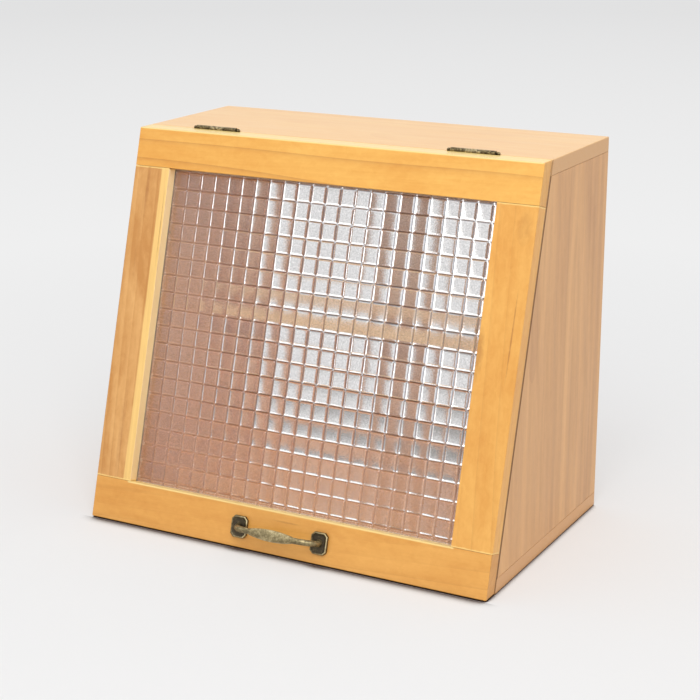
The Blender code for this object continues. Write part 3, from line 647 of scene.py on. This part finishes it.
def checkerTree():
    tree = bpy.data.node_groups.new("checkerPane", "GeometryNodeTree")
    calc = calculator(tree)
    ids = {}
    for kind, names in checkerInputs.items():
        for name in names:
            socket = tree.interface.new_socket(name, in_out="INPUT", socket_type="NodeSocket" + kind)
            ids[name] = socket.identifier
    tree.interface.new_socket("Geometry", in_out="OUTPUT", socket_type="NodeSocketGeometry")
    given = addNode(tree, "NodeGroupInput").outputs
    result = addNode(tree, "NodeGroupOutput")

    def step(kind, inputs=None, settings=None):
        return addNode(tree, "GeometryNode" + kind, settings, inputs).outputs[0]

    def vectors(operation, inputs):
        return addNode(tree, "ShaderNodeVectorMath", {"operation": operation}, inputs).outputs[0]

    def joined(x, y, z):
        return addNode(tree, "ShaderNodeCombineXYZ", {}, {0: x, 1: y, 2: z}).outputs[0]

    def here():
        return split(tree, step("InputPosition"))

    def crowded(position, pitch):
        # One wide step over the flat of the cell, then fine ones down into the groove
        half = calc("MULTIPLY", pitch, 0.5)
        share = calc("DIVIDE", position, half)
        away = calc("ABSOLUTE", share)
        flatShare = calc("DIVIDE", 2.0, given["Steps"])
        flatPart = calc("MULTIPLY", calc("MINIMUM", calc("DIVIDE", away, flatShare), 1.0),
                        calc("SUBTRACT", half, given["Groove"]))
        rest = calc("DIVIDE", calc("SUBTRACT", away, flatShare), calc("SUBTRACT", 1.0, flatShare), True)
        rest = calc("SUBTRACT", 1.0, calc("POWER", calc("SUBTRACT", 1.0, rest), given["Step Power"]))
        place = calc("ADD", flatPart, calc("MULTIPLY", rest, given["Groove"]))
        return calc("MULTIPLY", calc("SIGN", share), place)

    def fall(position, pitch):
        # 1 in the middle of a groove, 0 on the flat of the cell
        toBorder = calc("SUBTRACT", calc("MULTIPLY", pitch, 0.5), calc("ABSOLUTE", position))
        share = calc("SUBTRACT", 1.0, calc("DIVIDE", toBorder, given["Groove"]), True)
        return calc("POWER", share, given["Fall Power"])

    # One cell, lying flat: x across, y up
    corners = calc("ADD", given["Steps"], 1.0)
    cell = step("MeshGrid", {"Size X": given["Pitch Across"], "Size Y": given["Pitch Up"],
                             "Vertices X": corners, "Vertices Y": corners})
    even = here()
    warped = step("SetPosition", {"Geometry": cell,
                                  "Position": joined(crowded(even["X"], given["Pitch Across"]),
                                                     crowded(even["Y"], given["Pitch Up"]), 0.0)})
    flat = here()
    fallAcross = fall(flat["X"], given["Pitch Across"])
    fallUp = fall(flat["Y"], given["Pitch Up"])
    both = calc("SUBTRACT", calc("ADD", fallAcross, fallUp), calc("MULTIPLY", fallAcross, fallUp))
    shareX = calc("DIVIDE", flat["X"], given["Pitch Across"])
    shareY = calc("DIVIDE", flat["Y"], given["Pitch Up"])
    toCorner = calc("ADD", calc("MULTIPLY", shareX, shareX), calc("MULTIPLY", shareY, shareY))
    dip = calc("ADD", calc("MULTIPLY", both, given["Depth"]), calc("MULTIPLY", toCorner, given["Crown"]))

    def oneFlank(value, place, foot):
        # A painted shade line takes the whole of one flank but only the foot of the other
        low = calc("DIVIDE", calc("SUBTRACT", value, foot), calc("SUBTRACT", 1.0, foot), True)
        return calc("MAXIMUM", low, calc("MULTIPLY", value, calc("GREATER_THAN", place, 0.0)))

    def lineOf(value, crossing):
        # The painted shade line of one groove stops where the other one crosses it
        dark = calc("MULTIPLY", calc("SUBTRACT", value, given["Line Start"]), given["Line Slope"], True)
        return calc("MULTIPLY", dark, calc("SUBTRACT", 1.0, calc("MULTIPLY", crossing, crossing)))

    lines = {"groove": both,
             "sideShadeLine": lineOf(oneFlank(fallAcross, flat["X"], given["Side Foot"]), fallUp),
             "levelShadeLine": lineOf(oneFlank(fallUp, flat["Y"], given["Level Foot"]), fallAcross)}
    marked = warped
    for name, value in lines.items():
        marked = step("StoreNamedAttribute", {"Geometry": marked, "Name": name, "Value": value},
                      {"data_type": "FLOAT", "domain": "POINT"})
    sunk = joined(0.0, 0.0, calc("MULTIPLY", dip, -1.0))
    shaped = step("SetPosition", {"Geometry": marked, "Offset": sunk})

    # The cells stand side by side on a grid of points
    columnsWidth = calc("MULTIPLY", given["Pitch Across"], calc("SUBTRACT", given["Columns"], 1.0))
    rowsHeight = calc("MULTIPLY", given["Pitch Up"], calc("SUBTRACT", given["Rows"], 1.0))
    points = step("MeshGrid", {"Size X": columnsWidth, "Size Y": rowsHeight,
                               "Vertices X": given["Columns"], "Vertices Y": given["Rows"]})
    cells = step("InstanceOnPoints", {"Points": points, "Instance": shaped})
    sheet = step("MergeByDistance", {"Geometry": step("RealizeInstances", {"Geometry": cells}),
                                     "Distance": given["Merge"]})

    # The rolled pattern wanders a little, then the pane is cut to size
    start = joined(given["Start Across"], given["Start Up"], 0.0)
    moved = vectors("ADD", {0: step("InputPosition"), 1: start})
    drift = addNode(tree, "ShaderNodeTexNoise", {"noise_dimensions": "4D"},
                    {"Vector": moved, "W": given["Seed"], "Scale": given["Waver Scale"],
                     "Detail": 1.0}).outputs["Color"]
    drift = vectors("SUBTRACT", {0: drift, 1: (0.5, 0.5, 0.5)})
    drift = vectors("SCALE", {0: drift, "Scale": calc("MULTIPLY", given["Waver"], 2.0)})
    rolled = step("SetPosition", {"Geometry": sheet, "Position": vectors("ADD", {0: moved, 1: drift})})

    def held(value, reach):
        return calc("MINIMUM", calc("MAXIMUM", value, calc("MULTIPLY", reach, -1.0)), reach)

    # A face goes where all its corners lie past one edge of the pane
    place = here()
    allCorners = 0.99
    gone = []
    for axis, reach in (("X", "Half Width"), ("Y", "Half Height")):
        beyond = calc("GREATER_THAN", calc("ABSOLUTE", place[axis]), given[reach])
        cornersOut = step("FieldOnDomain", {0: beyond}, {"domain": "POINT", "data_type": "FLOAT"})
        gone.append(calc("GREATER_THAN", cornersOut, allCorners))
    kept = step("DeleteGeometry", {"Geometry": rolled, "Selection": calc("MAXIMUM", *gone)},
                {"domain": "FACE"})
    cut = step("SetPosition", {"Geometry": kept,
                               "Position": joined(held(place["X"], given["Half Width"]),
                                                  held(place["Y"], given["Half Height"]), place["Z"])})
    real = step("RealizeInstances", {"Geometry": step("SetShadeSmooth", {"Geometry": cut})})
    finished = step("SetMaterial", {"Geometry": real, "Material": given["Glass"]})
    tree.links.new(finished, result.inputs[0])
    return tree, ids


def madeByNodes(name, tree, values):
    # Runs a Geometry Nodes tree once and keeps its mesh
    holder = addObject(name, bpy.data.meshes.new(name))
    nodes = holder.modifiers.new("nodes", "NODES")
    nodes.node_group = tree
    for identifier, value in values.items():
        nodes[identifier] = value
    graph = bpy.context.evaluated_depsgraph_get()
    mesh = bpy.data.meshes.new_from_object(holder.evaluated_get(graph))
    mesh.name = name
    holder.modifiers.remove(nodes)
    holder.data = mesh
    return holder


def makePane(look):
    height = doorOpening["top"] - doorOpening["bottom"]
    middle = (doorOpening["top"] + doorOpening["bottom"]) / 2
    halfWidth = doorOpening["half"] + look["border"]
    halfHeight = height / 2 + look["border"]
    columns = math.ceil(2 * halfWidth / look["pitchAcross"]) + 1
    rows = math.ceil(2 * halfHeight / look["pitchUp"]) + 1
    glass = glassMaterial(look)
    values = {
        "Half Width": halfWidth, "Half Height": halfHeight, "Columns": columns, "Rows": rows,
        "Pitch Across": look["pitchAcross"], "Pitch Up": look["pitchUp"],
        # Whole cells start at the upper left corner of the opening, one more lies under the rebate
        "Start Across": -doorOpening["half"] + (columns / 2 - 1) * look["pitchAcross"],
        "Start Up": height / 2 - (rows / 2 - 1) * look["pitchUp"] + look["drop"],
        "Groove": look["groove"], "Depth": look["depth"], "Fall Power": look["fallPower"],
        "Crown": look["crown"], "Steps": look["steps"], "Step Power": look["stepPower"],
        "Merge": look["merge"], "Line Start": look["lineStart"], "Line Slope": look["lineSlope"],
        "Side Foot": look["sideFoot"], "Level Foot": look["levelFoot"],
        "Waver": look["waver"], "Waver Scale": look["waverScale"], "Seed": look["seed"], "Glass": glass,
    }
    tree, ids = checkerTree()
    pane = madeByNodes("checkerPane", tree, {ids[name]: value for name, value in values.items()})

    # Smooth back and cut edges close the rolled face
    shape = bmesh.new()
    shape.from_mesh(pane.data)
    rim = [edge for edge in shape.edges if edge.is_boundary]
    walls = bmesh.ops.extrude_edge_only(shape, edges=rim)["geom"]
    marks = {"groove": look["backMark"], "sideShadeLine": 0.0, "levelShadeLine": 0.0}
    for item in walls:
        if isinstance(item, bmesh.types.BMVert):
            item.co.z = look["front"] - look["back"]
            for name, value in marks.items():
                item[shape.verts.layers.float[name]] = value
    backRim = [item for item in walls if isinstance(item, bmesh.types.BMEdge) and item.is_boundary]
    backFace = bmesh.ops.edgeloop_fill(shape, edges=backRim)["faces"]
    for item in [*backFace, *(face for face in walls if isinstance(face, bmesh.types.BMFace))]:
        item.smooth = False
    bmesh.ops.recalc_face_normals(shape, faces=shape.faces)
    for edge in rim:
        edge.smooth = False
    # From flat, x across and y up, to the leaning plane of the door
    stand = Matrix.Translation((0, look["front"], middle)) @ Matrix.Rotation(math.radians(90), 4, "X")
    shape.transform(doorPlace @ stand)
    for item in shape.faces:
        item.material_index = 0  # Set Material leaves an empty slot before the glass
    shape.to_mesh(pane.data)
    shape.free()
    pane.data.materials.clear()
    pane.data.materials.append(glass)
    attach(pane, "door")
    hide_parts("glass_pane")
    return pane


pane = makePane(paneLook)
print("checker pane:", len(pane.data.polygons), "faces")


# The cast pull on the bottom rail
pullLook = {
    "railFace": -16.9 * mm,
    "centreUp": -349.52 * mm,
    "gap": 0.3 * mm,
    "pitch": 81 * mm,
    "stand": 16 * mm,
    "rise": 0.95,
    "crown": 0.62,
    "neckRadius": 2.8 * mm,
    "rootRadius": 4.8 * mm,
    "flareHeight": 8 * mm,
    "leafHalfLength": 22 * mm,
    "leafHalfHeight": 5.3 * mm,
    "leafHalfThickness": 1.9 * mm,
    "leafFullness": 0.75,
    "lens": 0.32,
    "lensPower": 3,
    "rings": 90,
    "sides": 40,
    "hammer": 0.16 * mm,
    "hammerSize": 3.2 * mm,
    "hammerNeck": 0.35,  # of the dents on the leaf
    "hammerShare": 0.6,
    "seed": 3.7,
    "wearBase": 0.38,
    "wearEdge": 0.45,
    "wearEdgePower": 4,
    "wearFront": (0.15, 0.20),  # everywhere, and more on the leaf
    "wearBack": 0.3,
    "footWidth": 16 * mm,
    "footHeight": 19.5 * mm,
    "footThickness": 3 * mm,
    "footClip": 3 * mm,
    "clipGrowth": 0.4,  # of an inset
    "footCornerSteps": 4,
    "footWearAndLight": (0.7, 0.3),  # even wear, and painted light that brightens the right side of each foot
    # Inset and place in mm, and wear, from the back over the raised rim to the dished face
    "footProfile": ((0.3, 0, 0.1), (0, -0.35, 0.1), (0, -2.3, 0.35), (0.22, -2.78, 0.95), (0.7, -3, 1.05),
                    (1.15, -2.9, 0.8), (1.5, -2.65, 0.2), (1.8, -2.3, 0), (3.7, -2.3, 0.05)),
    "smooth": math.radians(50),
    "brass": {"patch": 300.0, "patchShare": 0.38, "wearAndLightShare": 0.80, "bright": (0.700, 0.590, 0.350),
              "middle": (0.310, 0.250, 0.130), "dark": (0.075, 0.060, 0.040)},
}


def bowSection(look, x, stand):
    leaf = max(0.0, math.cos(math.pi / 2 * min(1.0, abs(x) / look["leafHalfLength"]))) ** look["leafFullness"]
    flare = max(0.0, 1.0 - stand / look["flareHeight"]) ** 2
    neck = look["neckRadius"]
    root = (look["rootRadius"] - neck) * flare
    thickness = neck + (look["leafHalfThickness"] - neck) * leaf + root
    height = neck + (look["leafHalfHeight"] - neck) * leaf + root
    return thickness, height, leaf


def hammered(point, look):
    # Shallow facets: the distance to the nearest of a field of scattered points
    found = noise.voronoi(point / look["hammerSize"] + Vector((look["seed"],) * 3))[0]
    return min(1.0, found[0])


def bowMesh(look):
    half = geometry.interpolate_bezier(
        Vector((look["pitch"] / 2, look["footThickness"] / 2)),
        Vector((look["pitch"] / 2, look["rise"] * look["stand"])),
        Vector((look["crown"] * look["pitch"] / 2, look["stand"])),
        Vector((0, look["stand"])), look["rings"])
    path = half + [Vector((-point.x, point.y)) for point in reversed(half[:-1])]
    shape = bmesh.new()
    wearAndLight = shape.verts.layers.float.new("wearAndLight")
    frontWear, leafWear = look["wearFront"]
    rings = []
    for index, point in enumerate(path):
        tangent = (path[min(index + 1, len(path) - 1)] - path[max(index - 1, 0)]).normalized()
        thickness, height, leaf = bowSection(look, point.x, point.y)
        outward = Vector((tangent.y, -tangent.x))
        ring = []
        for side in range(look["sides"]):
            turn = 2 * math.pi * side / look["sides"]
            out, up = math.cos(turn), math.sin(turn)
            # The leaf is lens shaped, with an edge above and below
            reach = out * thickness * (1 - look["lens"] * leaf * abs(up) ** look["lensPower"])
            place = Vector((point.x + outward.x * reach, -(point.y + outward.y * reach), up * height))
            dent = hammered(place, look) * (look["hammerNeck"] + (1 - look["hammerNeck"]) * leaf)
            inward = Vector((-outward.x * out, outward.y * out, -up)).normalized()
            place += inward * look["hammer"] * (1 - dent) * look["hammerShare"]
            vert = shape.verts.new(place)
            vert[wearAndLight] = (look["wearBase"] + look["wearEdge"] * abs(up) ** look["wearEdgePower"]
                          + (frontWear + leafWear * leaf) * max(0.0, out) - look["wearBack"] * max(0.0, -out))
            ring.append(vert)
        rings.append(ring)
    skinRings(shape, rings)
    return shape


def footMesh(look, x):
    # A clipped square plate, dished inside a raised rim, all corners rounded
    shape = bmesh.new()
    wearAndLight = shape.verts.layers.float.new("wearAndLight")
    halfWidth, halfHeight = look["footWidth"] / 2, look["footHeight"] / 2
    evenWear, paintedSideLight = look["footWearAndLight"]
    rings = []
    for insetMm, placeMm, worn in look["footProfile"]:
        inset = insetMm * mm
        clipped = look["footClip"] + inset * look["clipGrowth"]
        points = []
        for signX, signZ in ((1, 1), (-1, 1), (-1, -1), (1, -1)):
            ends = [Vector((signX * (halfWidth - inset), signZ * (halfHeight - clipped))),
                    Vector((signX * (halfWidth - clipped), signZ * (halfHeight - inset)))]
            if signX * signZ < 0:
                ends.reverse()
            for step in range(look["footCornerSteps"] + 1):
                points.append(ends[0].lerp(ends[1], step / look["footCornerSteps"]))
        ring = []
        for point in points:
            vert = shape.verts.new((x + point.x, placeMm * mm, point.y))
            # Wear of the profile, with painted light brighter towards the right side
            vert[wearAndLight] = worn * (evenWear + paintedSideLight * point.x / halfWidth)
            ring.append(vert)
        rings.append(ring)
    skinRings(shape, rings)
    return shape


def makePull(look):
    whole = bmesh.new()
    whole.verts.layers.float.new("wearAndLight")
    for shape in (bowMesh(look), footMesh(look, -look["pitch"] / 2), footMesh(look, look["pitch"] / 2)):
        bmesh.ops.recalc_face_normals(shape, faces=shape.faces)
        loose = meshOf(shape, "pullShape")
        whole.from_mesh(loose)
        bpy.data.meshes.remove(loose)
    for item in whole.faces:
        item.smooth = True
    for item in whole.edges:
        item.smooth = item.calc_face_angle(0.0) < look["smooth"]
    whole.transform(doorPlace @ Matrix.Translation((0, look["railFace"] - look["gap"], look["centreUp"])))
    pull = addObject("castPull", meshOf(whole, "castPull"))
    pull.data.materials.append(brassMaterial("castPullBrass", look["brass"], True))
    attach(pull, "door")
    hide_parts("door_handle")
    return pull


pull = makePull(pullLook)
print("cast pull:", len(pull.data.polygons), "faces")


# Floor, light and camera
studio = {
    "floorReach": 12.0,
    "floorSides": 96,
    "floorRoughness": 0.9,
    "floorTone": (0.875, 0.875, 0.875),
    "nearTone": (0.890, 0.890, 0.890),
    "farTone": (0.765, 0.765, 0.768),
    "toneFade": (0.6, 5.0),
    "contactReach": 14 * mm,
    "contactSamples": 16,
    "frontLine": (-134 * mm, -133 * mm),
    "frontContact": (0.68, 0.97),
    "sideContact": (0.50, 0.66),
    "underTone": (0.10, 0.065, 0.05),
    "glowFade": (0.25, 1.2),
    "glowShare": (0.35, 0.95),
    "shadeTone": (0.30, 0.29, 0.28),
    "shadeFade": (0.18, 0.36),
    "throughTone": (0.90, 0.92, 0.95),
    "lampTone": (3.0, 3.0, 3.0),
    "lampSlope": 0.44,
    "lampFade": (0.20, 0.32),
    "worldTone": (0.68, 0.68, 0.685),
    "backgroundTone": (0.86, 0.86, 0.862),
    "overheadTone": (1.25, 1.25, 1.26),
    "overheadFade": (0.05, 0.35),
    "throughSky": (1.6, 1.6, 1.6),
    "keyPower": 34.0,
    "keySize": 1.8,
    "keyPlace": (0.8, -1.6, 2.2),
    "keyTarget": (0, 0, 0.15),
}


def floorMaterial(look):
    # Paper near the case, which fades into an evenly lit backdrop
    material, tree, output, coords = newMaterial("studioPaper")
    calc = calculator(tree)
    where = coords.outputs["Object"]
    spot = split(tree, where)
    distance = addNode(tree, "ShaderNodeVectorMath", {"operation": "LENGTH"}, {0: where}).outputs["Value"]
    # No light gets in where the case nearly touches the floor, least of all under the door
    openSky = addNode(tree, "ShaderNodeAmbientOcclusion", {"samples": look["contactSamples"]},
                      {"Distance": look["contactReach"]}).outputs["AO"]
    under = calc("MULTIPLY", mapRange(tree, spot["Y"], *look["frontLine"], 1, 0),
                 mapRange(tree, openSky, *look["frontContact"], 1, 0))
    under = calc("MAXIMUM", under, mapRange(tree, openSky, *look["sideContact"], 1, 0))
    floorTone = mixColours(tree, under, rgba(look["floorTone"]), rgba(look["underTone"]))
    paper = addNode(tree, "ShaderNodeBsdfPrincipled", {},
                    {"Base Color": floorTone, "Roughness": look["floorRoughness"], "Specular IOR Level": 0.0})
    glowTone = mixColours(tree, mapRange(tree, distance, *look["toneFade"]),
                          rgba(look["nearTone"]), rgba(look["farTone"]))
    glow = addNode(tree, "ShaderNodeEmission", {}, {"Color": glowTone, "Strength": 1.0})
    glowing = calc("MULTIPLY", mapRange(tree, distance, *look["glowFade"], *look["glowShare"]),
                   calc("SUBTRACT", 1.0, under))
    mix = addNode(tree, "ShaderNodeMixShader", {}, {0: glowing, 1: paper.outputs[0], 2: glow.outputs[0]})
    # Seen through the glass: the shade behind the case, and the backdrop where a lamp lights it
    beside = calc("ADD", spot["X"], calc("MULTIPLY", spot["Y"], look["lampSlope"]))
    behind = mixColours(tree, mapRange(tree, distance, *look["shadeFade"]),
                        rgba(look["shadeTone"]), rgba(look["throughTone"]))
    behind = mixColours(tree, mapRange(tree, beside, *look["lampFade"]), behind, rgba(look["lampTone"]))
    lamp = addNode(tree, "ShaderNodeEmission", {}, {"Color": behind, "Strength": 1.0})
    through = addNode(tree, "ShaderNodeLightPath").outputs["Is Transmission Ray"]
    whole = addNode(tree, "ShaderNodeMixShader", {}, {0: through, 1: mix.outputs[0], 2: lamp.outputs[0]})
    tree.links.new(whole.outputs[0], output.inputs["Surface"])
    return material


def makeFloor(look):
    shape = bmesh.new()
    bmesh.ops.create_circle(shape, cap_ends=True, segments=look["floorSides"], radius=look["floorReach"])
    floor = addObject("studioFloor", meshOf(shape, "studioFloor"))
    floor.data.materials.append(floorMaterial(look))


def makeWorld(look):
    world = bpy.data.worlds.new("studioLight")
    bpy.context.scene.world = world
    world.use_nodes = True
    tree = world.node_tree
    tree.nodes.clear()
    path = addNode(tree, "ShaderNodeLightPath").outputs
    height = split(tree, addNode(tree, "ShaderNodeTexCoord").outputs["Generated"])["Z"]
    # Lamps hang above the backdrop, and gloss shows them
    shown = mixColours(tree, mapRange(tree, height, *look["overheadFade"]),
                       rgba(look["backgroundTone"]), rgba(look["overheadTone"]))
    seen = calculator(tree)("MAXIMUM", path["Is Camera Ray"], path["Is Glossy Ray"])
    tone = mixColours(tree, seen, rgba(look["worldTone"]), shown)
    tone = mixColours(tree, path["Is Transmission Ray"], tone, rgba(look["throughSky"]))
    shade = addNode(tree, "ShaderNodeBackground", {}, {"Color": tone, "Strength": 1.0})
    output = addNode(tree, "ShaderNodeOutputWorld")
    tree.links.new(shade.outputs[0], output.inputs[0])


def makeKeyLight(look):
    data = bpy.data.lights.new("keyLight", "AREA")
    data.energy = look["keyPower"]
    data.size = look["keySize"]
    light = addObject("keyLight", data)
    light.location = look["keyPlace"]
    light.rotation_euler = (Vector(look["keyTarget"]) - light.location).to_track_quat("-Z", "Y").to_euler()


makeFloor(studio)
makeWorld(studio)
makeKeyLight(studio)

cameraLook = {
    "place": (0.7223, -1.3302, 0.6010),
    "azimuth": 28.482,
    "elevation": 16.431,
    "roll": -0.094,
    "lens": 88.57,
    "sensor": 36,
}


def makeCamera(look):
    azimuth, elevation, roll = (math.radians(look[key]) for key in ("azimuth", "elevation", "roll"))
    back = Vector((math.sin(azimuth) * math.cos(elevation), -math.cos(azimuth) * math.cos(elevation),
                   math.sin(elevation)))
    right = Vector((math.cos(azimuth), math.sin(azimuth), 0))
    up = back.cross(right)
    rolledRight = math.cos(roll) * right + math.sin(roll) * up
    rolledUp = math.cos(roll) * up - math.sin(roll) * right
    data = bpy.data.cameras.new("camera")
    data.sensor_width = look["sensor"]
    data.lens = look["lens"]
    camera = addObject("camera", data)
    camera.matrix_world = (Matrix.Translation(look["place"])
                           @ Matrix((rolledRight, rolledUp, back)).transposed().to_4x4())
    bpy.context.scene.camera = camera


makeCamera(cameraLook)
bpy.context.scene.view_settings.view_transform = "Standard"
print("studio and camera ready")
